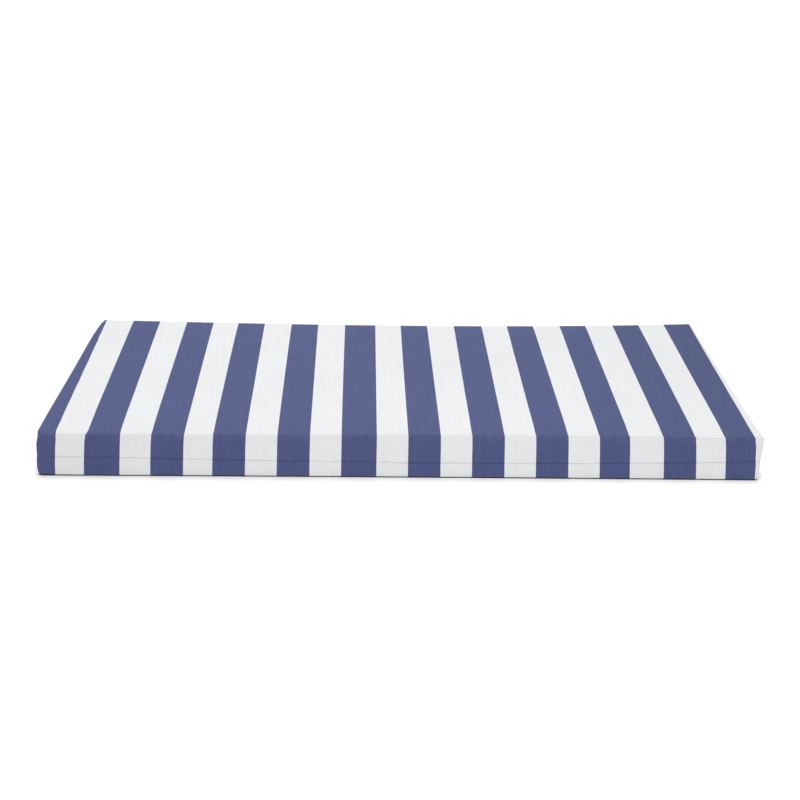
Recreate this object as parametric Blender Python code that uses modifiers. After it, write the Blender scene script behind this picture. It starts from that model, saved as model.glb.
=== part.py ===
"""Outdoor mattress cushion: one long, flat filled cushion in a sewn cloth cover.

Metres, +Z up. The cushion lies on the plane Z = 0 with its length along X and its depth along Y.
The front long side faces -Y. The origin is the middle of its bounding box, on that plane.
The two cover panels are the skin of one filled solid. Their seam is a groove that runs all round.
"""

import bpy
import bmesh
from mathutils import Vector

OBJECT_NAME = "outdoor_mattress_cushion"

# Overall size
LENGTH = 1.908
DEPTH = 1.014
THICKNESS = 0.1195

# Rounding of the edges and corners, as the width of the band that turns over
TOP_EDGE_BAND = 0.020
BOTTOM_EDGE_BAND = 0.016
CORNER_BAND = 0.030

# Fullness
CROWN_HEIGHT = 0.003
CROWN_POWER = 4
SIDE_BULGE = 0.003

# How far each side pulls in between its corners, and how far the back edge dips there
FRONT_PULL = 0.003
BACK_PULL = 0.012
END_PULL = 0.003
BACK_DIP = 0.006
BACK_DIP_POWER = 3

# The left end runs in towards the back, and its base reaches out further than its top
LEFT_END_TAPER = 0.030
LEFT_END_FLARE = 0.004

# The base reaches forwards towards the right end, and the right back corner reaches back
FRONT_FLARE_RIGHT = 0.005
FRONT_FLARE_POWER = 2
BACK_REACH_RIGHT = 0.006
BACK_REACH_POWER = 6

# Seam between the top and the bottom panel
SEAM_HEIGHT_MIDDLE = 0.043
SEAM_RISE_TO_CORNERS = 0.009
SEAM_RISE_TO_LEFT = 0.002
SEAM_GROOVE_DEPTH = 0.004
SEAM_GROOVE_HALF_WIDTH = 0.006

# Pointed tuck of cloth at the front right corner of the top panel
EAR_REACH_RIGHT = 0.006
EAR_REACH_FRONT = 0.003
EAR_DROP = 0.030

# Loops of the cage between its corner bands
LOOPS_ALONG_LENGTH = 13
LOOPS_ALONG_DEPTH = 7
SUBDIVISION_LEVELS = 1

COVER_COLOUR = (0.55, 0.58, 0.68, 1.0)
COVER_ROUGHNESS = 0.9

HALF_LENGTH = LENGTH / 2
HALF_DEPTH = DEPTH / 2
MERGE_DISTANCE = 0.000001


def clear_scene():
    """Remove every object that is already in the scene."""
    for old_object in list(bpy.data.objects):
        bpy.data.objects.remove(old_object, do_unlink=True)


def new_collection(name):
    """A collection linked to the scene."""
    collection = bpy.data.collections.new(name)
    bpy.context.scene.collection.children.link(collection)
    return collection


def cover_cloth():
    """Matt woven cloth of the cover, in the mean colour of its two stripes."""
    material = bpy.data.materials.new("cover_cloth")
    material.use_nodes = True
    shader = material.node_tree.nodes["Principled BSDF"]
    shader.inputs["Base Color"].default_value = COVER_COLOUR
    shader.inputs["Roughness"].default_value = COVER_ROUGHNESS
    shader.inputs["Metallic"].default_value = 0.0
    return material


def even_steps(low, high, count):
    """Places of count loops spread evenly from low to high, both ends included."""
    step = (high - low) / (count - 1)
    return [low + step * index for index in range(count)]


def seam_levels():
    """The three loops of the seam groove, at the height it has midway along a side."""
    return [
        SEAM_HEIGHT_MIDDLE - SEAM_GROOVE_HALF_WIDTH,
        SEAM_HEIGHT_MIDDLE,
        SEAM_HEIGHT_MIDDLE + SEAM_GROOVE_HALF_WIDTH,
    ]


def cut_loops(cage, axis, places):
    """Cut the cage with planes square to one axis, as loop cuts at exact places."""
    normal = Vector((0.0, 0.0, 0.0))
    normal[axis] = 1.0
    for place in places:
        geometry = cage.verts[:] + cage.edges[:] + cage.faces[:]
        bmesh.ops.bisect_plane(
            cage, geom=geometry, plane_co=normal * place, plane_no=normal, dist=MERGE_DISTANCE
        )


def block_cage():
    """A box of the overall size, with loops at its edge bands, its seam and across its panels."""
    cage = bmesh.new()
    bmesh.ops.create_cube(cage, size=1.0)
    for vertex in cage.verts:
        vertex.co.x *= LENGTH
        vertex.co.y *= DEPTH
        vertex.co.z = (vertex.co.z + 0.5) * THICKNESS
    length_limit = HALF_LENGTH - CORNER_BAND
    depth_limit = HALF_DEPTH - CORNER_BAND
    upper_band = THICKNESS - TOP_EDGE_BAND
    seam_top = seam_levels()[-1]
    cut_loops(cage, 0, even_steps(-length_limit, length_limit, LOOPS_ALONG_LENGTH))
    cut_loops(cage, 1, even_steps(-depth_limit, depth_limit, LOOPS_ALONG_DEPTH))
    cut_loops(cage, 2, [BOTTOM_EDGE_BAND] + seam_levels() + [(seam_top + upper_band) / 2, upper_band])
    return cage


def seam_lift(across, along):
    """Rise of the seam above its middle height, at a place on the rim given from -1 to 1."""
    corner_share = min(abs(across), abs(along)) ** 2
    return SEAM_RISE_TO_CORNERS * corner_share - SEAM_RISE_TO_LEFT * across * corner_share


def height_share(height):
    """How much of the seam's lift a level takes: all at the seam, none at the top or the base."""
    low = BOTTOM_EDGE_BAND
    high = THICKNESS - TOP_EDGE_BAND
    if height <= low or height >= high:
        return 0.0
    if height <= SEAM_HEIGHT_MIDDLE:
        lower_groove = SEAM_HEIGHT_MIDDLE - SEAM_GROOVE_HALF_WIDTH
        return min(1.0, (height - low) / (lower_groove - low))
    upper_groove = SEAM_HEIGHT_MIDDLE + SEAM_GROOVE_HALF_WIDTH
    return min(1.0, (high - height) / (high - upper_groove))


def side_fullness(height):
    """Outward offset of a side at one level: full midway up each panel, deepest in the seam."""
    if abs(height - SEAM_HEIGHT_MIDDLE) < MERGE_DISTANCE:
        return -SEAM_GROOVE_DEPTH
    if height < SEAM_HEIGHT_MIDDLE:
        share = height / SEAM_HEIGHT_MIDDLE
    else:
        share = (height - SEAM_HEIGHT_MIDDLE) / (THICKNESS - SEAM_HEIGHT_MIDDLE)
    return SIDE_BULGE * (4 * share * (1 - share) - 1)


def crown(across, along):
    """Height of the crowned top panel above its rim."""
    return CROWN_HEIGHT * (1 - across ** CROWN_POWER) * (1 - along ** CROWN_POWER)


def shaped(point):
    """Move one point of the box cage to its place on the filled cushion."""
    x, y, z = point
    across = x / HALF_LENGTH
    along = y / HALF_DEPTH
    on_end = abs(abs(across) - 1) < MERGE_DISTANCE
    on_long_side = abs(abs(along) - 1) < MERGE_DISTANCE
    new_point = Vector((x, y, z))
    pull = FRONT_PULL if along < 0 else BACK_PULL
    new_point.y -= pull * along * (1 - across ** 2)
    new_point.x -= END_PULL * across * (1 - along ** 2)
    left_share = (1 - across) / 2
    new_point.x += LEFT_END_TAPER * left_share * (along + 1) / 2
    new_point.x -= LEFT_END_FLARE * left_share * (1 - z / THICKNESS)
    right_share = (1 + across) / 2
    front_share = (1 - along) / 2
    front_flare = FRONT_FLARE_RIGHT * right_share ** FRONT_FLARE_POWER * front_share
    new_point.y -= front_flare * (1 - z / THICKNESS)
    new_point.y += BACK_REACH_RIGHT * right_share ** BACK_REACH_POWER * (1 - front_share)
    if on_end:
        new_point.x += side_fullness(z) * across
    if on_long_side:
        new_point.y += side_fullness(z) * along
    if on_end or on_long_side:
        new_point.z += seam_lift(across, along) * height_share(z)
    if z > THICKNESS - MERGE_DISTANCE:
        new_point.z += crown(across, along) - CROWN_HEIGHT
    back_share = ((1 + along) / 2) ** BACK_DIP_POWER
    new_point.z -= BACK_DIP * back_share * (1 - across ** 2) * z / THICKNESS
    on_front_right_corner = on_end and on_long_side and across > 0 and along < 0
    if on_front_right_corner and z > THICKNESS - EAR_DROP:
        new_point.x += EAR_REACH_RIGHT
        new_point.y -= EAR_REACH_FRONT
    return new_point


def centre_on_base(cushion):
    """Shift the mesh so that its evaluated box is centred on Z's axis and stands on Z = 0."""
    evaluated = cushion.evaluated_get(bpy.context.evaluated_depsgraph_get())
    points = [vertex.co.copy() for vertex in evaluated.to_mesh().vertices]
    evaluated.to_mesh_clear()
    low = Vector(min(point[axis] for point in points) for axis in range(3))
    high = Vector(max(point[axis] for point in points) for axis in range(3))
    shift = Vector((-(low.x + high.x) / 2, -(low.y + high.y) / 2, -low.z))
    for vertex in cushion.data.vertices:
        vertex.co += shift


def make_cushion(collection, material):
    """The filled cushion, from its box cage to a subdivided soft form."""
    cage = block_cage()
    for vertex in cage.verts:
        vertex.co = shaped(vertex.co)
    mesh = bpy.data.meshes.new("cushion")
    cage.to_mesh(mesh)
    cage.free()
    mesh.materials.append(material)
    mesh.shade_smooth()
    cushion = bpy.data.objects.new("cushion", mesh)
    collection.objects.link(cushion)
    softening = cushion.modifiers.new("soft_form", "SUBSURF")
    softening.levels = SUBDIVISION_LEVELS
    softening.render_levels = SUBDIVISION_LEVELS
    bpy.context.view_layer.update()
    centre_on_base(cushion)
    return cushion


def main():
    clear_scene()
    collection = new_collection(OBJECT_NAME)
    make_cushion(collection, cover_cloth())


main()
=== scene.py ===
"""Looks of an outdoor mattress cushion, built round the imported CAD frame.

One closed, filled cover with its sewn seam, corner seams, puckers and woven stripes replaces the
plain CAD solid. Metres, +Z up: the cushion lies on Z = 0 with its front long side towards -Y.
"""

import math

import bmesh
import bpy
import numpy as np
from mathutils import Matrix, Vector, noise


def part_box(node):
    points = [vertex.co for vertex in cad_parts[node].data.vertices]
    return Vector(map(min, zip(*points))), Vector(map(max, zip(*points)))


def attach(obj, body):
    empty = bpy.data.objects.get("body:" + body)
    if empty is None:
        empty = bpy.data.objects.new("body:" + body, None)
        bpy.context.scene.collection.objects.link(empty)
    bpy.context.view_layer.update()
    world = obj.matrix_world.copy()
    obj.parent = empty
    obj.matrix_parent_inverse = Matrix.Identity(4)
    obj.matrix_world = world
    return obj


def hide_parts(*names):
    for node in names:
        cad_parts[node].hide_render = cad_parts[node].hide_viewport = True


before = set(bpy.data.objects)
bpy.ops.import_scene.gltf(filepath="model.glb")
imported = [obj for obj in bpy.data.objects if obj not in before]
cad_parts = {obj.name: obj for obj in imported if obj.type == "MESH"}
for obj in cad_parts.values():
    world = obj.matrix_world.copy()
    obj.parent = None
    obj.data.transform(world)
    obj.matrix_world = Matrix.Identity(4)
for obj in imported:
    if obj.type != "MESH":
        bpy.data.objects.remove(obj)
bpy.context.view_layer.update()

LOW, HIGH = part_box("cushion")

# Size of the block of foam: the CAD solid's box less what its flares and its ear add
END_ROOM = 0.0035
SIDE_ROOM = 0.0055
LENGTH = HIGH.x - LOW.x - 2 * END_ROOM
DEPTH = HIGH.y - LOW.y - 2 * SIDE_ROOM
THICKNESS = HIGH.z - LOW.z
HALF_LENGTH = LENGTH / 2
HALF_DEPTH = DEPTH / 2

# Rounding of the cover over the block, and how far its base turns up at the edge
PLAN_RADIUS = 0.012
TOP_RADIUS = 0.005
BASE_RADIUS = 0.0045
BASE_TURN_UP = 0.0010
LEFT_CORNER_TURN_UP = 0.0026
LEFT_CORNER_REACH = 0.06

# Grid of the cover, before its one subdivision. Its levels close up about the seam.
STEPS_ALONG_LENGTH = 178
STEPS_ALONG_DEPTH = 34
STEPS_IN_ROUNDING = 4
LEVELS_BELOW_SEAM = (0.020, 0.010, 0.0045, 0.0015)
LEVELS_ABOVE_SEAM = (0.0015, 0.0045, 0.010, 0.022, 0.038)

# Filled form: crown and bulge, sides pulled in between their corners, and the back edge's dip
CROWN_HEIGHT = 0.001
CROWN_POWER = 4
SIDE_BULGE = 0.0010
FRONT_PULL = 0.002
BACK_PULL = 0.012
END_PULL = 0.003
BACK_DIP = 0.008
BACK_DIP_LEAN = 0.35
BACK_DIP_POWER = 3

# Ends: the left one runs in towards the back. The right one is a little fuller, its base drawn in.
LEFT_END_TAPER = 0.030
LEFT_END_FLARE = 0.003
LEFT_BACK_PULL = 0.009
LEFT_FRONT_PULL = 0.003
RIGHT_FULLNESS = 0.0012
RIGHT_BASE_PULL = 0.005
RIGHT_BASE_POWER = 30

# Front edge, a little raised right of its middle, and how far front and back reach out
FRONT_EDGE_RISE = 0.0002
FRONT_EDGE_POWER = 6
RISE_PLACE = 0.25
RISE_MORE = 0.0026
RISE_WIDTH = 0.45
RISE_FADE = 0.25
FRONT_FLARE = 0.002
FRONT_FLARE_RIGHT = 0.005
FRONT_FLARE_POWER = 2
BACK_REACH_RIGHT = 0.004
BACK_REACH_POWER = 6

# Seam between the top and the bottom panel: low in the middle, with a rise towards the corners
SEAM_MIDDLE = 0.0404
SEAM_RISE_LEFT = 0.0162
SEAM_RISE_RIGHT = 0.0125
SEAM_RISE_POWER_LEFT = 1.3
SEAM_RISE_POWER_RIGHT = 3.0
SEAM_DIP_LEFT = 0.003
SEAM_DIP_START = 0.8
SEAM_RISE_PLACE = -0.145
SEAM_RISE_MORE = 0.0022
SEAM_RISE_WIDTH = 0.10
SEAM_WIDTH = 0.0022
SEAM_DEPTH = 0.0014
SEAM_SIDES_BLEND = 2
SEAM_WAVER = 0.0003
SEAM_WAVES = ((170, 0, 1.0), (103, 1, 1.0), (31, 0, 0.6))  # radians a metre, start and share
SEAM_FADE_AT_CORNER = 0.05
SEAM_FADE_SHARE = 0.7
SEAM_LIFT_BAND = 0.010
CORNER_SEAM_WIDTH = 0.006
CORNER_SEAM_DEPTH = 0.002

# Puckers beside the seam: size of a ripple, reach from the seam, height and seed
PUCKERS = (
    (0.015, 0.009, 0.0007, 2),
    (0.030, 0.016, 0.0008, 3),
)

# Ripples run upright, start a little off the seam and come in patches of several ripples
PUCKER_SQUASH = (1.0, 1.0, 0.15)
PUCKER_START = 0.003
PATCH_SIZE = 6
PATCH_SHARE = 0.55
PATCH_LIMITS = (0.1, 1.0)

# Single tucks on the front: place along X, height over the seam, length, width, rise and lean
TUCKS = (
    (-0.862, -0.007, 0.022, 0.0035, 0.0016, -0.22),
    (-0.905, -0.010, 0.014, 0.0030, 0.0010, 0.30),
    (-0.210, 0.008, 0.016, 0.0030, 0.0007, 0.25),
    (0.365, -0.008, 0.018, 0.0030, 0.0009, -0.20),
    (0.812, -0.009, 0.016, 0.0030, 0.0010, 0.24),
)

# Corners drawn out to a point or rounded in: side in X, side in Y, height, reach, size and fall
CORNERS = (
    (1, -1, 0.116, 0.0056, 0.014, 0.100),
    (1, 1, 0.108, 0.0030, 0.010, 0.060),
    (-1, -1, 0.119, -0.0068, 0.016, 0.032),
    (-1, 1, 0.108, -0.0020, 0.012, 0.030),
    (-1, -1, 0.000, -0.0080, 0.009, 0.010),
)
CORNER_AIM = (0.9, 0.5)  # how much of the reach goes along X and along Y

# Settling of the cover over its foam
SETTLING_FRAMES = 20
SETTLING_CAP = 0.003
FILLING_PRESSURE = 1.6
FOAM_HOLD = 0.20
EDGE_HOLD = 0.50
EDGE_HOLD_WIDTH = 0.03
FOAM_UNEVENNESS = 0.45
FOAM_PATCH_SIZE = 0.16
CLOTH_TAUTNESS = 0.0
CLOTH_SLACK = 0.02
LOOSE_WIDTH = 0.014
HELD_SEAM_WIDTH = 0.0025
HELD_BASE_HEIGHT = 0.004

# Stripes, from the left end to the right: blue, white, blue and so on, in an even repeat.
# A few, counted from 0, are clearly narrower or wider. The outermost two cover the ends.
STRIPE_COUNT = 24
FIRST_STRIPE_EDGE = -1.059
BLUE_STRIPE = 0.085
WHITE_STRIPE = 0.082
END_STRIPE = 0.160
UNEVEN_STRIPES = {5: 0.075, 10: 0.092, 18: 0.079, 19: 0.089, 21: 0.078, 22: 0.079}

# How the stripes spread or gather, as shares of their place, and shift or narrow, by a length.
# The gather on top ends over a short bend at the front edge, and fades towards the back.
STRIPE_SPREAD_TO_BACK = 0.005
STRIPE_SHIFT_TO_BACK = 0.004
STRIPE_SPREAD_TO_BASE = 0.009
STRIPE_GATHER_ON_TOP = 0.0024
STRIPE_SHIFT_ON_TOP = 0.0005
GATHER_FADE_POWER = 4
BEND_LENGTH = 0.012
BLUE_NARROWER_AT_BACK = 0.0023

# Where the stripes are drawn aside: on the front, down towards the base or towards the back.
# Place along X, shift and width. Those on the front and base grow over the pull's length.
FRONT_PULLS = ((-0.90, 0.005, 0.03), (-0.82, -0.004, 0.03), (-0.74, 0.003, 0.03))
BASE_PULLS = ((0.90, -0.006, 0.035),)
BACK_PULLS = (
    (-0.06, 0.005, 0.035),
    (0.27, 0.005, 0.035),
    (0.60, 0.005, 0.035),
    (0.93, 0.006, 0.035),
)
PULL_START = 0.020
PULL_LENGTH = 0.032

# Cloth: threads, tones (linear colours), wear, and painted shade: the blue on top darker towards the
# right, and creases darker with dust and painted shade
THREAD_PITCH = 0.0009
THREAD_RELIEF = 0.00009
SLUB_RELIEF = 0.00020
RAGGED_EDGE = 0.0004
BLUE_DEEP = (0.0646, 0.0805, 0.192, 1)
BLUE_PALE = (0.0815, 0.0982, 0.227, 1)
WHITE_DEEP = (0.737, 0.741, 0.752, 1)
WHITE_PALE = (0.777, 0.781, 0.791, 1)
WORN_COLOUR = (0.60, 0.61, 0.64, 1)
TONE_RANGE = 0.015
# Painted shade: the blue on top is darkened towards the right, standing in for less sheen there; span
# across the stripes in metres, and the tone at its right end
TOP_SHADE_SPAN = (0.45, 0.95)
TOP_SHADE_TONE = 0.88
WORN_EDGE_WIDTH = 0.006
WORN_EDGE_SHARE = 0.05
# Darkening of the seam and corner creases, part dust and part painted shade, and its patches
CREASE_DUST_AND_SHADE = 0.28
DUST_AND_SHADE_PATCH_SIZE = 0.02
DUST_AND_SHADE_PATCH_SEED = 8
DUST_AND_SHADE_SHARE = 0.7
DUST_AND_SHADE_RANGE = 0.9
DUST_AND_SHADE_LIMITS = (0.2, 1.4)

# Noises of the cloth: scale across the stripes, along them and upwards, detail and roughness
CLOTH_NOISES = {
    "ragged": ((900.0, 260.0, 1.0), 1.0, 0.5),
    "slub": ((420.0, 9.0, 1.0), 3.0, 0.6),
    "weft_slub": ((7.0, 520.0, 1.0), 2.0, 0.6),
    "soft": ((3.1, 2.3, 1.0), 2.0, 0.5),
    "mottle": ((36.0, 30.0, 1.0), 3.0, 0.5),
    "streak": ((95.0, 6.0, 1.0), 2.0, 0.5),
    "fleck": ((330.0, 240.0, 1.0), 2.0, 0.5),
}
WEFT_SHARE = 0.5
STREAK_SHARE = 0.7
FLECK_SHARE = 0.8
DYE_RANGE = (1.2, 1.8)
NOISE_RANGE = (0.3, 0.7)
WEAR_RANGE = (0.35, 0.65)
MOTTLE_TONES = (0.988, 1.012)
ROUGHNESSES = (0.82, 0.92)
# Width of the bend at the front edge over which the painted shade on top sets in
TOP_SHADE_BEND = 0.01
SPECULAR_LEVEL = 0.14
SHEEN_WEIGHT = 0.06
SHEEN_TINT = (0.55, 0.75, 1.0, 1)
SHEEN_ROUGHNESS = 0.5

# Studio: the floor and the even surroundings
FLOOR_SIZE = 120.0
FLOOR_COLOUR = (0.30, 0.30, 0.30, 1)
SURROUND_LIGHT = 0.70

# Suns: azimuth, elevation, strength and spread, with angles in degrees
BACK_LIGHT = (180, 46, 1.22, 60)
FLOOR_LIGHT = (0, 78, 6.1, 24)
FLOOR_SHADOW_LIGHT = (180, 78, 3.5, 24)

# Softboxes: place, the point aimed at, size and power
TOP_LIGHT = ((-0.8, 0.5, 4.0), (-0.7, 0.0, 0.1), 1.6, 24.0)
FRONT_LIGHT = ((0.15, -2.2, 0.95), (0.2, -0.5, 0.06), 1.0, 7.5)

# Camera: lens in millimetres, place, and angles in degrees
CAMERA_LENS = 75.6
SENSOR_WIDTH = 36.0
CLIP_END = 200.0
CAMERA_PLACE = (-0.1415, -4.586, 1.6875)
CAMERA_PITCH = 19.805
CAMERA_YAW = 1.903
CAMERA_ROLL = 1.064

# Distance taken as nothing
SMALL = 0.000001


def rounding_steps(radius):
    """Distances from an edge at which grid lines turn evenly over its rounding."""
    angles = np.linspace(math.pi / 4, 0.0, STEPS_IN_ROUNDING + 1)[1:]
    return [radius * (1 - math.tan(angle)) for angle in angles]


def grid_lines(half, radius, steps):
    """Grid places along one side: close together over the two edges and even between them."""
    edge = rounding_steps(radius)
    low = [-half + distance for distance in edge]
    high = [half - distance for distance in reversed(edge)]
    middle = list(np.linspace(low[-1], high[0], steps + 1)[1:-1])
    return low + middle + high


def height_lines():
    """Grid heights: over the base rounding, close about the seam, and over the top rounding."""
    base = rounding_steps(BASE_RADIUS)
    top = [THICKNESS - distance for distance in reversed(rounding_steps(TOP_RADIUS))]
    below = [SEAM_MIDDLE - drop for drop in LEVELS_BELOW_SEAM]
    above = [SEAM_MIDDLE + rise for rise in LEVELS_ABOVE_SEAM]
    return base + below + [SEAM_MIDDLE] + above + top


def cut(cage, axis, places):
    """Loop cuts at exact places, square to one axis."""
    normal = Vector((0.0, 0.0, 0.0))
    normal[axis] = 1.0
    for place in places:
        geometry = cage.verts[:] + cage.edges[:] + cage.faces[:]
        bmesh.ops.bisect_plane(
            cage, geom=geometry, plane_co=normal * place, plane_no=normal, dist=SMALL
        )


def block_mesh():
    """A block of the cushion's size, cut into the cover's grid."""
    cage = bmesh.new()
    bmesh.ops.create_cube(cage, size=1.0)
    for vertex in cage.verts:
        vertex.co = Vector((vertex.co.x * LENGTH, vertex.co.y * DEPTH, (vertex.co.z + 0.5) * THICKNESS))
    cut(cage, 0, grid_lines(HALF_LENGTH, PLAN_RADIUS, STEPS_ALONG_LENGTH))
    cut(cage, 2, height_lines())
    cut(cage, 1, grid_lines(HALF_DEPTH, PLAN_RADIUS, STEPS_ALONG_DEPTH))
    mesh = bpy.data.meshes.new("cushion_cover")
    cage.to_mesh(mesh)
    cage.free()
    return mesh


def rounded(place):
    """Places on the block moved onto its rounded form. place is an array of block places."""
    height_radius = np.where(place[:, 2] > THICKNESS / 2, TOP_RADIUS, BASE_RADIUS)
    inner = np.empty_like(place)
    inner[:, 0] = place[:, 0].clip(-HALF_LENGTH + PLAN_RADIUS, HALF_LENGTH - PLAN_RADIUS)
    inner[:, 1] = place[:, 1].clip(-HALF_DEPTH + PLAN_RADIUS, HALF_DEPTH - PLAN_RADIUS)
    inner[:, 2] = place[:, 2].clip(BASE_RADIUS, THICKNESS - TOP_RADIUS)
    radii = np.stack([np.full(len(place), PLAN_RADIUS)] * 2 + [height_radius], 1)
    out = (place - inner) / radii
    size = np.maximum(np.linalg.norm(out, axis=1, keepdims=True), SMALL)
    return inner + out / size * radii


def plan_shift(across, along):
    """Shift in plan of a place given from -1 to 1 each way: sides pulled in, left end run in."""
    shift_x = -END_PULL * across * (1 - along ** 2)
    shift_x += LEFT_END_TAPER * (1 - across) / 2 * (along + 1) / 2
    corner_pull = np.where(along < 0, LEFT_FRONT_PULL, LEFT_BACK_PULL)
    shift_x += corner_pull * (1 - across) / 2 * np.clip(2 * abs(along) - 1, 0, 1) ** 2
    pull = np.where(along < 0, FRONT_PULL, BACK_PULL)
    shift_y = -pull * along * (1 - across ** 2)
    shift_y += BACK_REACH_RIGHT * ((1 + across) / 2) ** BACK_REACH_POWER * (1 + along) / 2
    return shift_x, shift_y


def seam_lift(across, along):
    """Rise of the seam above its middle height, most at the corners."""
    towards_corner = np.minimum(abs(across), abs(along))
    left = SEAM_RISE_LEFT * towards_corner ** SEAM_RISE_POWER_LEFT
    left -= SEAM_DIP_LEFT * np.clip((towards_corner - SEAM_DIP_START) / (1 - SEAM_DIP_START), 0, 1)
    right = SEAM_RISE_RIGHT * towards_corner ** SEAM_RISE_POWER_RIGHT
    share_right = np.clip(0.5 + SEAM_SIDES_BLEND * across, 0, 1)
    more = SEAM_RISE_MORE * np.exp(-((across - SEAM_RISE_PLACE) / SEAM_RISE_WIDTH) ** 2)
    run = across * HALF_LENGTH + along * HALF_DEPTH
    waver = SEAM_WAVER * sum(share * np.sin(run * turn + start) for turn, start, share in SEAM_WAVES)
    return left * (1 - share_right) + right * share_right + more * (along < 0) + waver


def height_share(height):
    """How much of the seam's lift a level takes: all at the seam, none at the top and the base."""
    low, high = BASE_RADIUS, THICKNESS - TOP_RADIUS
    band = [low, SEAM_MIDDLE - SEAM_LIFT_BAND, SEAM_MIDDLE + SEAM_LIFT_BAND, high]
    return np.interp(height, band, [0, 1, 1, 0])


def fullness(height):
    """Outward offset of a side at one level, full midway up each panel."""
    lower = height / SEAM_MIDDLE
    upper = (height - SEAM_MIDDLE) / (THICKNESS - SEAM_MIDDLE)
    share = np.where(height < SEAM_MIDDLE, lower, upper).clip(0, 1)
    return SIDE_BULGE * (4 * share * (1 - share) - 1)


def edge_distance(place):
    """Distance of places on the block from its nearest side or end, in plan."""
    return np.minimum(HALF_LENGTH - abs(place[:, 0]), HALF_DEPTH - abs(place[:, 1]))


def filled(place):
    """Places on the block moved to the filled cover, before its seams and creases."""
    across = place[:, 0] / HALF_LENGTH
    along = place[:, 1] / HALF_DEPTH
    height = place[:, 2]
    shape = rounded(place)
    shift_x, shift_y = plan_shift(across, along)
    end_share = np.clip((abs(place[:, 0]) - HALF_LENGTH + PLAN_RADIUS) / PLAN_RADIUS, 0, 1)
    side_share = np.clip((abs(place[:, 1]) - HALF_DEPTH + PLAN_RADIUS) / PLAN_RADIUS, 0, 1)
    shape[:, 0] += shift_x + np.sign(across) * end_share * fullness(height)
    shape[:, 0] -= LEFT_END_FLARE * (1 - across) / 2 * (1 - height / THICKNESS)
    shape[:, 1] += shift_y + np.sign(along) * side_share * fullness(height)
    right_end = ((1 + across) / 2) ** RIGHT_BASE_POWER
    shape[:, 0] -= RIGHT_BASE_PULL * right_end * (1 - height / THICKNESS)
    flare = FRONT_FLARE + FRONT_FLARE_RIGHT * ((1 + across) / 2) ** FRONT_FLARE_POWER
    shape[:, 1] -= flare * (1 - along) / 2 * (1 - height / THICKNESS)
    shape[:, 2] += seam_lift(across, along) * height_share(height) * np.maximum(end_share, side_share)
    top_share = np.clip((height - THICKNESS + TOP_RADIUS) / TOP_RADIUS, 0, 1)
    rise = (1 - abs(across) ** CROWN_POWER) * (1 - abs(along) ** CROWN_POWER)
    shape[:, 2] += CROWN_HEIGHT * (rise - 1) * top_share
    dip = BACK_DIP * (1 + BACK_DIP_LEAN * across) * ((1 + along) / 2) ** BACK_DIP_POWER
    dip *= 1 - across ** 2
    shape[:, 2] += (RIGHT_FULLNESS * across - dip) * height / THICKNESS
    front_rise = FRONT_EDGE_RISE + RISE_MORE * np.exp(-((across - RISE_PLACE) / RISE_WIDTH) ** 2)
    front_rise *= np.clip((1 - abs(across)) / RISE_FADE, 0, 1)
    shape[:, 2] += front_rise * ((1 - along) / 2) ** FRONT_EDGE_POWER * height / THICKNESS
    turn_up = np.clip(1 - edge_distance(place) / PLAN_RADIUS, 0, 1) ** 2
    near_corner = np.exp(-((1 + across) / LEFT_CORNER_REACH) ** 2) * (1 - along) / 2
    turn_up *= BASE_TURN_UP + LEFT_CORNER_TURN_UP * near_corner
    shape[:, 2] += turn_up * (1 - height / THICKNESS)
    return shape


def coordinates(mesh):
    """A mesh's points as an array."""
    points = np.empty(len(mesh.vertices) * 3, np.float32)
    mesh.vertices.foreach_get("co", points)
    return points.reshape(-1, 3).astype(float)


def set_coordinates(mesh, points):
    """Give a mesh new points."""
    mesh.vertices.foreach_set("co", points.astype(np.float32).ravel())
    mesh.update()


def smooth_noise(points, size, seed):
    """Smooth noise from -1 to 1 at each point, with features of about the given size."""
    offset = Vector((seed * 13.7, seed * 7.3, seed * 3.1))
    return np.array([noise.noise(Vector(point) / size + offset) for point in points])


def side_masks(place):
    """Which places lie on the block's long sides, and which on its ends."""
    on_long_side = abs(place[:, 1]) > HALF_DEPTH - SMALL
    on_end = abs(place[:, 0]) > HALF_LENGTH - SMALL
    return on_long_side, on_end


def vertex_group(cover, name, weights):
    """Add a vertex group with one weight for each point."""
    group = cover.vertex_groups.new(name=name)
    for index, weight in enumerate(weights):
        group.add([index], float(weight), "REPLACE")


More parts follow.
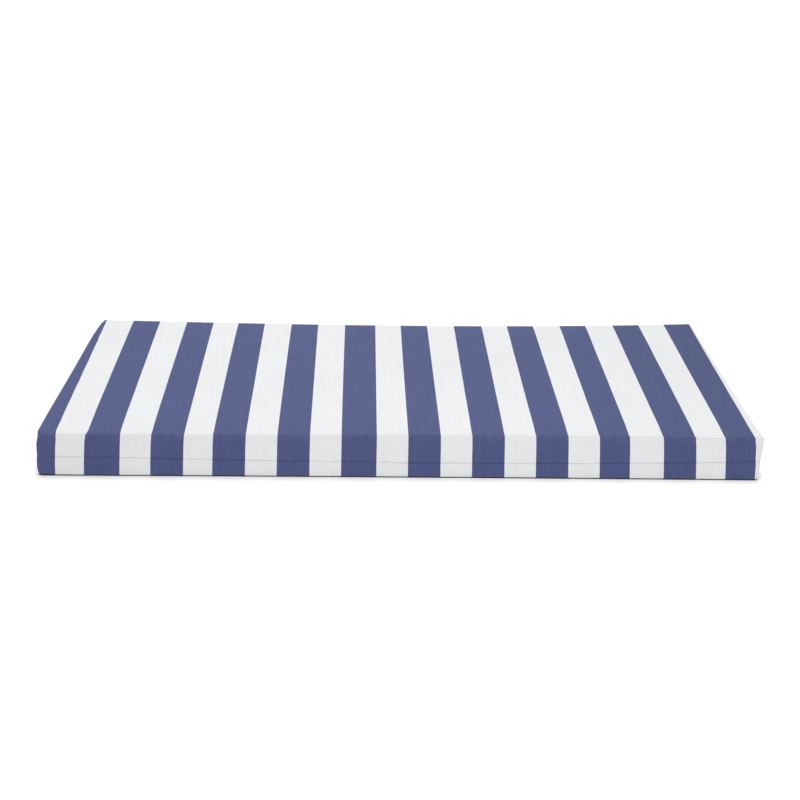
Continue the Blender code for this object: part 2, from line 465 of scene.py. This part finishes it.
def settle_cloth(cover, place):
    """Blow the cover up a little over its foam by cloth simulation. Returns its settled points.

    The seam and the base are held fast. Foam holds the rest with a stiffness that varies softly,
    and the cloth is a little loose beside the seam, where it puckers.
    """
    start = coordinates(cover.data)
    on_long_side, on_end = side_masks(place)
    on_side = on_long_side | on_end
    from_seam = abs(place[:, 2] - SEAM_MIDDLE)
    fast = (on_side & (from_seam < HELD_SEAM_WIDTH)) | (place[:, 2] < HELD_BASE_HEIGHT)
    foam = FOAM_HOLD * (1 + FOAM_UNEVENNESS * smooth_noise(start, FOAM_PATCH_SIZE, 1))
    from_edge = np.hypot(edge_distance(place), THICKNESS - place[:, 2])
    from_edge = np.minimum(from_edge, HALF_LENGTH - abs(place[:, 0]))
    foam += EDGE_HOLD * np.exp(-(from_edge / EDGE_HOLD_WIDTH) ** 2)
    vertex_group(cover, "held", np.where(fast, 1.0, foam.clip(0, 1)))
    vertex_group(cover, "loose", np.exp(-(from_seam / LOOSE_WIDTH) ** 2) * on_side)
    modifier = cover.modifiers.new("settling", "CLOTH")
    cloth = modifier.settings
    cloth.vertex_group_mass = "held"
    cloth.vertex_group_shrink = "loose"
    cloth.shrink_min = CLOTH_TAUTNESS
    cloth.shrink_max = -CLOTH_SLACK
    cloth.use_pressure = True
    cloth.uniform_pressure_force = FILLING_PRESSURE
    cloth.effector_weights.gravity = 0
    modifier.collision_settings.use_collision = False
    modifier.point_cache.frame_end = SETTLING_FRAMES
    for step in range(1, SETTLING_FRAMES + 1):
        bpy.context.scene.frame_set(step)
    settled = cover.evaluated_get(bpy.context.evaluated_depsgraph_get())
    moved = coordinates(settled.data) - start
    cover.modifiers.remove(modifier)
    cover.vertex_groups.clear()
    bpy.context.scene.frame_set(1)
    distance = np.linalg.norm(moved, axis=1, keepdims=True)
    return start + moved * np.minimum(1.0, SETTLING_CAP / np.maximum(distance, SMALL))


def corner_distance(place):
    """Distance of places on the ends from the nearest corner seam, just round the corner."""
    distance = abs(abs(place[:, 1]) - HALF_DEPTH + PLAN_RADIUS)
    return np.where(side_masks(place)[1], distance, LENGTH)


def crease(distance, width):
    """Profile of a sewn crease: 1 in the seam, falling to 0 at its width on either side."""
    return np.clip(1 - distance / width, 0, 1) ** 2


def sewn_offsets(place, shape):
    """Outward offset of each point from the seam's crease, the corner creases and the puckers."""
    on_long_side, on_end = side_masks(place)
    on_side = (on_long_side | on_end).astype(float)
    height = place[:, 2] - SEAM_MIDDLE
    from_seam = abs(height)
    from_corner = corner_distance(place)
    from_end = HALF_LENGTH - abs(place[:, 0])
    painted_top_shade = 1 - SEAM_FADE_SHARE * np.exp(-(from_end / SEAM_FADE_AT_CORNER) ** 2)
    offset = -SEAM_DEPTH * painted_top_shade * crease(from_seam, SEAM_WIDTH) * on_side
    offset -= CORNER_SEAM_DEPTH * crease(from_corner, CORNER_SEAM_WIDTH) * on_side
    for size, reach, height_of, seed in PUCKERS:
        run = shape * np.array(PUCKER_SQUASH)
        ripple = smooth_noise(run, size, seed)
        patchy = np.clip(PATCH_SHARE + smooth_noise(run, size * PATCH_SIZE, seed + 5), *PATCH_LIMITS)
        near = np.exp(-from_seam / reach) * np.clip(from_seam / PUCKER_START, 0, 1)
        offset += height_of * ripple * patchy * near * on_side
    for place_x, level, length, width, rise, lean in TUCKS:
        along = shape[:, 0] - place_x
        across = height - level - along * lean
        ridge = np.exp(-(along / length) ** 2 - (across / width) ** 2)
        offset += rise * ridge * (place[:, 1] < -HALF_DEPTH + SMALL)
    return offset


def corner_offsets(place):
    """Shift of each point that draws a corner out to a small point of cloth, or rounds it in."""
    offset = np.zeros_like(place)
    for side_x, side_y, height, reach, size, fall in CORNERS:
        out = place - np.array([side_x * HALF_LENGTH, side_y * HALF_DEPTH, height])
        level = np.clip(1 - np.where(out[:, 2] > 0, out[:, 2] / size, -out[:, 2] / fall), 0, 1)
        near = np.exp(-(out[:, 0] ** 2 + out[:, 1] ** 2) / size ** 2) * level
        aim = np.array([side_x * CORNER_AIM[0], side_y * CORNER_AIM[1], 0.0])
        offset += reach * near[:, None] * aim
    return offset


def subdivided(cover):
    """Give the cover the mesh of its subdivision surface. Returns the new mesh."""
    softening = cover.modifiers.new("softening", "SUBSURF")
    softening.levels = 1
    softening.render_levels = 1
    evaluated = cover.evaluated_get(bpy.context.evaluated_depsgraph_get())
    fine = bpy.data.meshes.new_from_object(evaluated)
    cover.modifiers.clear()
    cover.data = fine
    return fine


def face_corner_places(mesh, points):
    """The given point values at the four corners of every face."""
    corners = np.empty(len(mesh.loops), np.int32)
    mesh.loops.foreach_get("vertex_index", corners)
    return points[corners].reshape(-1, 4, 3)


def turned_angle(distance, tangent, radius):
    """Angle turned over a rounding, 0 at its tangent and 45 degrees at the block's edge."""
    return np.arctan(np.clip((distance - tangent) / radius, 0, 1))


def along_cover(block, shape, axis):
    """Place along the cloth of faces that run along an axis, arc length over the roundings."""
    half = (HALF_LENGTH, HALF_DEPTH)[axis]
    angle = turned_angle(abs(block[..., axis]), half - PLAN_RADIUS, PLAN_RADIUS)
    return shape[..., axis] + np.sign(block[..., axis]) * PLAN_RADIUS * (angle - np.sin(angle))


def down_cover(block, axis, upper):
    """Place along the cloth of faces that turn down, or up, from the panel's edge on an axis."""
    half = (HALF_LENGTH, HALF_DEPTH)[axis]
    height = block[..., 2]
    quarter = math.pi / 4
    from_top = TOP_RADIUS * (quarter - turned_angle(height, THICKNESS - TOP_RADIUS, TOP_RADIUS))
    from_top += np.maximum(THICKNESS - TOP_RADIUS - height, 0)
    from_base = BASE_RADIUS * (quarter - turned_angle(BASE_RADIUS - height, 0, BASE_RADIUS))
    from_base += np.maximum(height - BASE_RADIUS, 0)
    run = half - PLAN_RADIUS + PLAN_RADIUS * quarter + np.where(upper, from_top, from_base)
    shift = plan_shift(block[..., 0] / HALF_LENGTH, block[..., 1] / HALF_DEPTH)[axis]
    return np.sign(block[..., axis]) * run + shift


def past_corner(block):
    """Place across the stripes of side cloth that wraps round a corner onto the end."""
    angle = turned_angle(abs(block[..., 1]), HALF_DEPTH - PLAN_RADIUS, PLAN_RADIUS)
    run = HALF_LENGTH - PLAN_RADIUS + PLAN_RADIUS * (math.pi / 2 - angle)
    shift = plan_shift(block[..., 0] / HALF_LENGTH, block[..., 1] / HALF_DEPTH)[0]
    return np.sign(block[..., 0]) * run + shift


def stripe_widths():
    """Widths of the stripes from the left end to the right, blue and white in turn."""
    widths = [(BLUE_STRIPE, WHITE_STRIPE)[index % 2] for index in range(STRIPE_COUNT)]
    for index, width in UNEVEN_STRIPES.items():
        widths[index] = width
    widths[0] = END_STRIPE
    widths[-1] = END_STRIPE
    return widths


def towards_back(block):
    """Share of the way from the front to the back, 0 to 1."""
    return (block[..., 1] / HALF_DEPTH + 1) / 2


def drawn_aside(across, block, formed):
    """Place across the stripes once they are spread, gathered on top and drawn aside in places."""
    to_back = towards_back(block)
    to_base = 1 - block[..., 2] / THICKNESS
    across = (across - STRIPE_SHIFT_TO_BACK * to_back) / (1 + STRIPE_SPREAD_TO_BACK * to_back)
    across = across / (1 + STRIPE_SPREAD_TO_BASE * to_base)
    past_edge = THICKNESS - block[..., 2] - (block[..., 1] + HALF_DEPTH)
    on_top = np.clip(0.5 - past_edge / BEND_LENGTH, 0, 1) * (1 - to_back ** GATHER_FADE_POWER)
    across = across * (1 + STRIPE_GATHER_ON_TOP * on_top) + STRIPE_SHIFT_ON_TOP * on_top
    on_front = np.clip((past_edge + PULL_START) / PULL_LENGTH, 0, 1)
    drawings = ((on_front, FRONT_PULLS), (to_back, BACK_PULLS), (on_front * to_base, BASE_PULLS))
    for drawn, pulls in drawings:
        for place_x, shift, width in pulls:
            across -= drawn * shift * np.exp(-((formed[..., 0] - place_x) / width) ** 2)
    return across


def stripe_counts(across, to_back):
    """Stripes counted across the cloth: an even whole number starts a blue one."""
    edges = FIRST_STRIPE_EDGE + np.concatenate([[0], np.cumsum(stripe_widths())])
    counts = np.arange(len(edges)) + 2.0
    at_back = edges + BLUE_NARROWER_AT_BACK * ((counts + 1) % 2)
    share = to_back ** 2
    return np.interp(across, edges, counts) * (1 - share) + np.interp(across, at_back, counts) * share


def lay_cloth(mesh, place, shape):
    """UV maps of the flat cloth: places across and along it in metres, and a count of stripes."""
    block = face_corner_places(mesh, place)
    formed = face_corner_places(mesh, shape)
    upper = (block[..., 2].mean(axis=1) > SEAM_MIDDLE)[:, None] & np.ones(4, bool)
    on_end = (abs(block[..., 0]) > HALF_LENGTH - SMALL).all(axis=1)[:, None]
    on_side = (abs(block[..., 1]) > HALF_DEPTH - SMALL).all(axis=1)[:, None]
    round_corner = on_end & (abs(block[..., 1]).mean(axis=1) > HALF_DEPTH - PLAN_RADIUS)[:, None]
    across = np.where(on_end, down_cover(block, 0, upper), along_cover(block, formed, 0))
    across = np.where(round_corner, past_corner(block), across)
    along = np.where(on_side | round_corner, down_cover(block, 1, upper), along_cover(block, formed, 1))
    across = drawn_aside(across, block, formed)
    count = stripe_counts(across, towards_back(block))
    for name, first in (("cloth", across), ("stripes", count)):
        layer = mesh.uv_layers.new(name=name)
        layer.uv.foreach_set("vector", np.stack([first, along], -1).astype(np.float32).ravel())


def mark_wear_and_crease_shade(mesh, place):
    """Point attributes for the cloth's material: rubbed edges, and creases darkened by dust and painted
    shade.
    """
    from_end = HALF_LENGTH - abs(place[:, 0])
    from_side = HALF_DEPTH - abs(place[:, 1])
    from_face = np.minimum(THICKNESS - place[:, 2], place[:, 2])
    distances = np.sort(np.stack([from_end, from_side, from_face]), axis=0)
    from_edge = np.hypot(distances[0], distances[1])
    on_long_side, on_end = side_masks(place)
    # Seam and corner creases to darken: part dust, part painted shade
    in_seam = crease(abs(place[:, 2] - SEAM_MIDDLE), SEAM_WIDTH) * (on_long_side | on_end)
    patches = smooth_noise(place, DUST_AND_SHADE_PATCH_SIZE, DUST_AND_SHADE_PATCH_SEED)
    in_seam *= np.clip(DUST_AND_SHADE_SHARE + DUST_AND_SHADE_RANGE * patches, *DUST_AND_SHADE_LIMITS)
    in_corner = crease(corner_distance(place), CORNER_SEAM_WIDTH)
    for name, values in (
        ("edge_wear", np.exp(-(from_edge / WORN_EDGE_WIDTH) ** 2)),
        ("crease_dust_and_shade", np.maximum(in_seam, in_corner)),
    ):
        attribute = mesh.attributes.new(name, "FLOAT", "POINT")
        attribute.data.foreach_set("value", values.astype(np.float32))


def make_cover():
    """The whole cover: block, filled form, settling, one subdivision, and then its seams."""
    mesh = block_mesh()
    place = coordinates(mesh)
    set_coordinates(mesh, filled(place))
    attribute = mesh.attributes.new("block_place", "FLOAT_VECTOR", "POINT")
    attribute.data.foreach_set("vector", place.astype(np.float32).ravel())
    cover = bpy.data.objects.new("cushion_cover", mesh)
    bpy.context.scene.collection.objects.link(cover)
    set_coordinates(mesh, settle_cloth(cover, place))
    fine = subdivided(cover)
    values = np.empty(len(fine.vertices) * 3, np.float32)
    fine.attributes["block_place"].data.foreach_get("vector", values)
    place = values.reshape(-1, 3).astype(float)
    fine.vertices.foreach_get("normal", values)
    normals = values.reshape(-1, 3).astype(float)
    shape = coordinates(fine)
    shape += normals * sewn_offsets(place, shape)[:, None] + corner_offsets(place)
    on_floor = (place[:, 2] < SMALL) & (edge_distance(place) > PLAN_RADIUS - SMALL)
    shape[:, 2] = np.where(on_floor, 0.0, np.maximum(shape[:, 2], 0.0))
    set_coordinates(fine, shape)
    fine.shade_smooth()
    lay_cloth(fine, place, shape)
    mark_wear_and_crease_shade(fine, place)
    return cover


class Nodes:
    """Short calls for making shader nodes in one tree."""

    def __init__(self, tree):
        self.tree = tree
        tree.nodes.clear()

    def add(self, kind, inputs=None, **settings):
        """A node with some settings, and inputs given as values or as outputs to link."""
        node = self.tree.nodes.new(kind)
        for name, value in settings.items():
            setattr(node, name, value)
        for name, value in (inputs or {}).items():
            self.join(value, node.inputs[name])
        return node

    def join(self, value, socket):
        """Link an output to a socket, or set the socket's own value."""
        if isinstance(value, bpy.types.NodeSocket):
            self.tree.links.new(value, socket)
        else:
            socket.default_value = value

    def maths(self, operation, *values):
        """Output of a Math node."""
        node = self.add("ShaderNodeMath", operation=operation)
        for index, value in enumerate(values):
            self.join(value, node.inputs[index])
        return node.outputs[0]

    def mixed(self, share, low, high):
        """Output of a colour mix."""
        node = self.add("ShaderNodeMix", data_type="RGBA")
        self.join(share, node.inputs[0])
        self.join(low, node.inputs[6])
        self.join(high, node.inputs[7])
        return node.outputs[2]

    def scaled(self, colour, factor):
        """Output of a colour times a number."""
        node = self.add("ShaderNodeVectorMath", {0: colour, 1: factor}, operation="MULTIPLY")
        return node.outputs[0]

    def spread(self, value, low, high, new_low, new_high):
        """Output of a range map, clamped."""
        inputs = {"Value": value, "From Min": low, "From Max": high}
        inputs |= {"To Min": new_low, "To Max": new_high}
        return self.add("ShaderNodeMapRange", inputs).outputs[0]

    def noise(self, place, scale, detail, roughness):
        """Noise from 0 to 1 at a place, its scale given as a number for each axis."""
        scaled = self.add("ShaderNodeMapping", {"Vector": place, "Scale": scale}).outputs[0]
        inputs = {"Vector": scaled, "Scale": 1.0, "Detail": detail, "Roughness": roughness}
        return self.add("ShaderNodeTexNoise", inputs).outputs[0]


def blue_stripes(nodes, shift):
    """1 in the blue stripes and 0 in the white ones, their edges moved by a shift in metres."""
    count = nodes.add("ShaderNodeUVMap", uv_map="stripes").outputs[0]
    count = nodes.add("ShaderNodeSeparateXYZ", {"Vector": count}).outputs[0]
    count = nodes.maths("ADD", count, nodes.maths("DIVIDE", shift, BLUE_STRIPE))
    return nodes.maths("LESS_THAN", nodes.maths("MODULO", count, 2.0), 1.0)


def weave_height(nodes, across, along):
    """Height of a plain weave in metres: each thread passes over and under the others in turn."""
    turn_across = nodes.maths("SINE", nodes.maths("MULTIPLY", across, math.pi / THREAD_PITCH))
    turn_along = nodes.maths("SINE", nodes.maths("MULTIPLY", along, math.pi / THREAD_PITCH))
    warp_on_top = nodes.maths("GREATER_THAN", nodes.maths("MULTIPLY", turn_across, turn_along), 0.0)
    warp = nodes.maths("ABSOLUTE", turn_across)
    weft = nodes.maths("ABSOLUTE", turn_along)
    over = nodes.maths("MULTIPLY", warp_on_top, warp)
    under = nodes.maths("MULTIPLY", nodes.maths("SUBTRACT", 1.0, warp_on_top), weft)
    return nodes.maths("MULTIPLY", nodes.maths("ADD", over, under), THREAD_RELIEF)


def dyed_and_shaded_stripes(nodes, noises, yarn, across, along):
    """Colour of the dyed yarns, with painted shade: the blue on top is darker towards the right."""
    off_middle = nodes.maths("SUBTRACT", noises["ragged"], 0.5)
    blue_share = blue_stripes(nodes, nodes.maths("MULTIPLY", off_middle, 2 * RAGGED_EDGE))
    dye = nodes.maths("ADD", yarn, nodes.maths("MULTIPLY", noises["streak"], STREAK_SHARE))
    dye = nodes.maths("ADD", dye, nodes.maths("MULTIPLY", noises["fleck"], FLECK_SHARE))
    depth = nodes.spread(dye, *DYE_RANGE, 0.0, 1.0)
    blue = nodes.mixed(depth, BLUE_DEEP, BLUE_PALE)
    white = nodes.mixed(depth, WHITE_DEEP, WHITE_PALE)
    # Painted shade: the blue on top darkens towards the right, standing in for less sheen there
    fold = (-HALF_DEPTH - TOP_SHADE_BEND, -HALF_DEPTH + TOP_SHADE_BEND)
    on_top = nodes.spread(along, *fold, 0.0, 1 - TOP_SHADE_TONE)
    to_right = nodes.spread(across, *TOP_SHADE_SPAN, 0.0, 1.0)
    painted_top_shade = nodes.maths("SUBTRACT", 1.0, nodes.maths("MULTIPLY", on_top, to_right))
    return nodes.mixed(blue_share, white, nodes.scaled(blue, painted_top_shade))


def worn_and_crease_shaded(nodes, noises, colour):
    """A colour with soft changes of tone, creases darkened by dust and painted shade, and rubbed edges.
    """
    wear = nodes.add("ShaderNodeAttribute", attribute_name="edge_wear").outputs["Fac"]
    dust_and_shade = nodes.add("ShaderNodeAttribute", attribute_name="crease_dust_and_shade").outputs["Fac"]
    tone = nodes.spread(noises["soft"], *NOISE_RANGE, 1 - TONE_RANGE, 1 + TONE_RANGE)
    mottling = nodes.spread(noises["mottle"], *NOISE_RANGE, *MOTTLE_TONES)
    tone = nodes.maths("MULTIPLY", tone, mottling)
    # Painted shade with dust: the seam and corner creases are darkened
    dust_and_shade_tone = nodes.maths("SUBTRACT", 1.0, nodes.maths("MULTIPLY", dust_and_shade, CREASE_DUST_AND_SHADE))
    tone = nodes.maths("MULTIPLY", tone, dust_and_shade_tone)
    patchy = nodes.spread(noises["mottle"], *WEAR_RANGE, 0.0, WORN_EDGE_SHARE)
    rubbed = nodes.maths("MULTIPLY", wear, patchy)
    return nodes.mixed(rubbed, nodes.scaled(colour, tone), WORN_COLOUR)


def cloth_material():
    """Striped canvas: yarn-dyed stripes, plain weave, slubs, soft tone changes, worn edges, and painted
    shade in the creases and on the blue on top at the right.
    """
    material = bpy.data.materials.new("striped_canvas")
    material.use_nodes = True
    nodes = Nodes(material.node_tree)
    place = nodes.add("ShaderNodeUVMap", uv_map="cloth").outputs[0]
    parts = nodes.add("ShaderNodeSeparateXYZ", {"Vector": place})
    across, along = parts.outputs[0], parts.outputs[1]
    noises = {name: nodes.noise(place, *values) for name, values in CLOTH_NOISES.items()}
    yarn = nodes.maths("ADD", noises["slub"], nodes.maths("MULTIPLY", noises["weft_slub"], WEFT_SHARE))
    colour = worn_and_crease_shaded(nodes, noises, dyed_and_shaded_stripes(nodes, noises, yarn, across, along))
    rough = nodes.spread(noises["mottle"], *NOISE_RANGE, *ROUGHNESSES)

    slub_height = nodes.maths("MULTIPLY", yarn, SLUB_RELIEF)
    height = nodes.maths("ADD", weave_height(nodes, across, along), slub_height)
    bump = nodes.add("ShaderNodeBump", {"Height": height, "Strength": 1.0, "Distance": 1.0})
    shader = nodes.add("ShaderNodeBsdfPrincipled", {"Base Color": colour, "Roughness": rough})
    nodes.join(bump.outputs[0], shader.inputs["Normal"])
    shader.inputs["Specular IOR Level"].default_value = SPECULAR_LEVEL
    shader.inputs["Sheen Weight"].default_value = SHEEN_WEIGHT
    shader.inputs["Sheen Tint"].default_value = SHEEN_TINT
    shader.inputs["Sheen Roughness"].default_value = SHEEN_ROUGHNESS
    nodes.add("ShaderNodeOutputMaterial", {"Surface": shader.outputs[0]})
    return material


def floor_material():
    """Matt paper, which the floor's own two lights show almost white."""
    material = bpy.data.materials.new("pale_floor")
    material.use_nodes = True
    nodes = Nodes(material.node_tree)
    shader = nodes.add("ShaderNodeBsdfDiffuse", {"Color": FLOOR_COLOUR})
    nodes.add("ShaderNodeOutputMaterial", {"Surface": shader.outputs[0]})
    return material


def make_floor():
    """A plain pale floor that reaches past the edges of the camera's view. Returns it."""
    sheet = bmesh.new()
    bmesh.ops.create_grid(sheet, x_segments=1, y_segments=1, size=FLOOR_SIZE / 2)
    mesh = bpy.data.meshes.new("floor")
    sheet.to_mesh(mesh)
    sheet.free()
    floor = bpy.data.objects.new("floor", mesh)
    bpy.context.scene.collection.objects.link(floor)
    floor.data.materials.append(floor_material())
    return floor


def make_world():
    """Even white surroundings, as in a tent of white cloth."""
    world = bpy.data.worlds.new("studio")
    world.use_nodes = True
    nodes = Nodes(world.node_tree)
    inputs = {"Color": (1, 1, 1, 1), "Strength": SURROUND_LIGHT}
    background = nodes.add("ShaderNodeBackground", inputs)
    nodes.add("ShaderNodeOutputWorld", {"Surface": background.outputs[0]})
    bpy.context.scene.world = world


def make_sun(name, azimuth, elevation, strength, spread):
    """A wide soft light from a direction given in degrees: azimuth 0 is from the front."""
    light = bpy.data.lights.new(name, "SUN")
    light.energy = strength
    light.angle = math.radians(spread)
    lamp = bpy.data.objects.new(name, light)
    turn = Matrix.Rotation(math.radians(azimuth), 4, "Z")
    lamp.matrix_world = turn @ Matrix.Rotation(math.radians(90 - elevation), 4, "X")
    bpy.context.scene.collection.objects.link(lamp)
    return lamp


def make_softbox(name, place, aim, size, power):
    """A square soft light at a place, turned towards a point that it aims at."""
    light = bpy.data.lights.new(name, "AREA")
    light.energy = power
    light.size = size
    lamp = bpy.data.objects.new(name, light)
    lamp.location = place
    lamp.rotation_euler = (Vector(aim) - Vector(place)).to_track_quat("-Z", "Y").to_euler()
    bpy.context.scene.collection.objects.link(lamp)
    return lamp


def light_only(lamp, lit):
    """Let a lamp light one object and nothing else."""
    group = bpy.data.collections.new(lamp.name + "_receivers")
    group.objects.link(lit)
    lamp.light_linking.receiver_collection = group


def make_camera():
    """A camera in front of the cushion and above it, a little left of its middle."""
    data = bpy.data.cameras.new("camera")
    data.sensor_width = SENSOR_WIDTH
    data.lens = CAMERA_LENS
    data.clip_end = CLIP_END
    camera = bpy.data.objects.new("camera", data)
    turn = Matrix.Rotation(-math.radians(CAMERA_YAW), 4, "Z")
    tip = Matrix.Rotation(math.radians(90 - CAMERA_PITCH), 4, "X")
    roll = Matrix.Rotation(math.radians(CAMERA_ROLL), 4, "Z")
    camera.matrix_world = Matrix.Translation(CAMERA_PLACE) @ turn @ tip @ roll
    bpy.context.scene.collection.objects.link(camera)
    bpy.context.scene.camera = camera


cushion_cover = make_cover()
cushion_cover.data.materials.append(cloth_material())
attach(cushion_cover, "root")
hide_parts("cushion")

floor = make_floor()
make_world()
light_only(make_sun("back_light", *BACK_LIGHT), cushion_cover)
light_only(make_softbox("top_light", *TOP_LIGHT), cushion_cover)
light_only(make_softbox("front_light", *FRONT_LIGHT), cushion_cover)
light_only(make_sun("floor_light", *FLOOR_LIGHT), floor)
light_only(make_sun("floor_shadow_light", *FLOOR_SHADOW_LIGHT), floor)
make_camera()
bpy.context.scene.view_settings.view_transform = "Standard"
